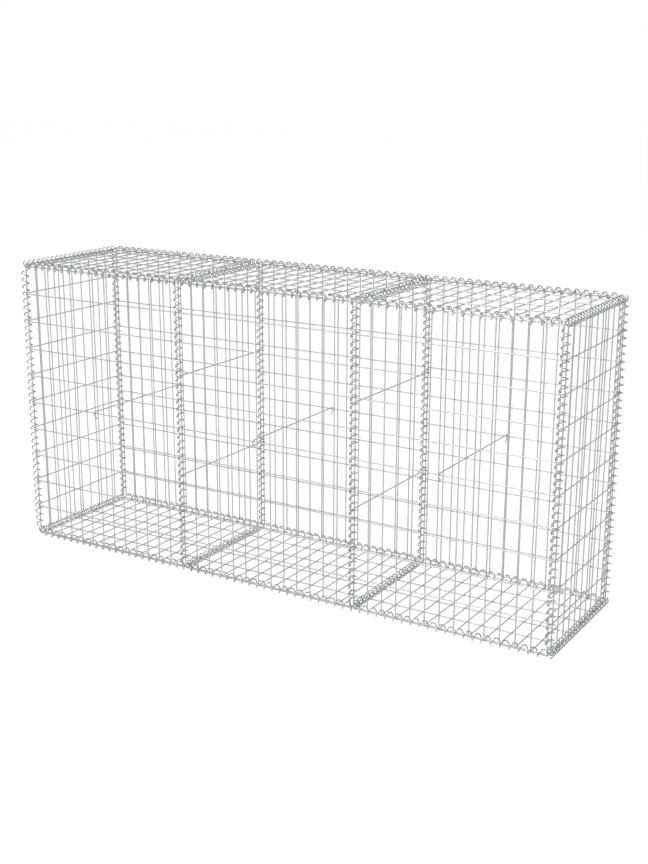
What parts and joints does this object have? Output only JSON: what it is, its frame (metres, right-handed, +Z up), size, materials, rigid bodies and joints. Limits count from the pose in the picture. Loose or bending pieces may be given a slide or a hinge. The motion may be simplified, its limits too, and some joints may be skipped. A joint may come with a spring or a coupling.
{
  "type": "gabion wall basket",
  "caption": "Empty welded-wire gabion basket: box-shaped row of mesh bays laced along every edge with wire spirals and braced front to back by tie wires.",
  "frame": {"origin": "centre of the basket's footprint, at the bottom of the lowest spirals", "axes": "+X along the length, towards the right end; +Y from the front wall to the back wall; +Z up"},
  "size_m": [2, 0.5, 1],
  "materials": {
    "mesh_wire": "galvanised zinc, satin",
    "spiral_wire": "galvanised zinc, satin",
    "tie_wire": "galvanised zinc, satin"
  },
  "bodies": {
    "root": {"back_panel_left": "mesh_wire", "back_panel_middle": "mesh_wire", "back_panel_right": "mesh_wire", "bay_tie_left": "tie_wire", "bay_tie_middle": "tie_wire", "bay_tie_right": "tie_wire", "corner_spiral_back_left": "spiral_wire", "corner_spiral_back_right": "spiral_wire", "corner_spiral_front_left": "spiral_wire", "corner_spiral_front_right": "spiral_wire", "cross_spiral_bottom_left": "spiral_wire", "cross_spiral_bottom_right": "spiral_wire", "cross_spiral_top_left": "spiral_wire", "cross_spiral_top_right": "spiral_wire", "end_panel_left": "mesh_wire", "end_panel_right": "mesh_wire", "end_spiral_bottom_left": "spiral_wire", "end_spiral_bottom_right": "spiral_wire", "end_spiral_top_left": "spiral_wire", "end_spiral_top_right": "spiral_wire", "floor_panel_left": "mesh_wire", "floor_panel_middle": "mesh_wire", "floor_panel_right": "mesh_wire", "front_panel_left": "mesh_wire", "front_panel_middle": "mesh_wire", "front_panel_right": "mesh_wire", "joint_spiral_back_left": "spiral_wire", "joint_spiral_back_right": "spiral_wire", "joint_spiral_front_left": "spiral_wire", "joint_spiral_front_right": "spiral_wire", "joint_tie_lower_left": "tie_wire", "joint_tie_lower_right": "tie_wire", "joint_tie_upper_left": "tie_wire", "joint_tie_upper_right": "tie_wire", "lid_panel_left": "mesh_wire", "lid_panel_middle": "mesh_wire", "lid_panel_right": "mesh_wire", "long_spiral_back_bottom": "spiral_wire", "long_spiral_back_top": "spiral_wire", "long_spiral_front_bottom": "spiral_wire", "long_spiral_front_top": "spiral_wire"}
  },
  "joints": []
}
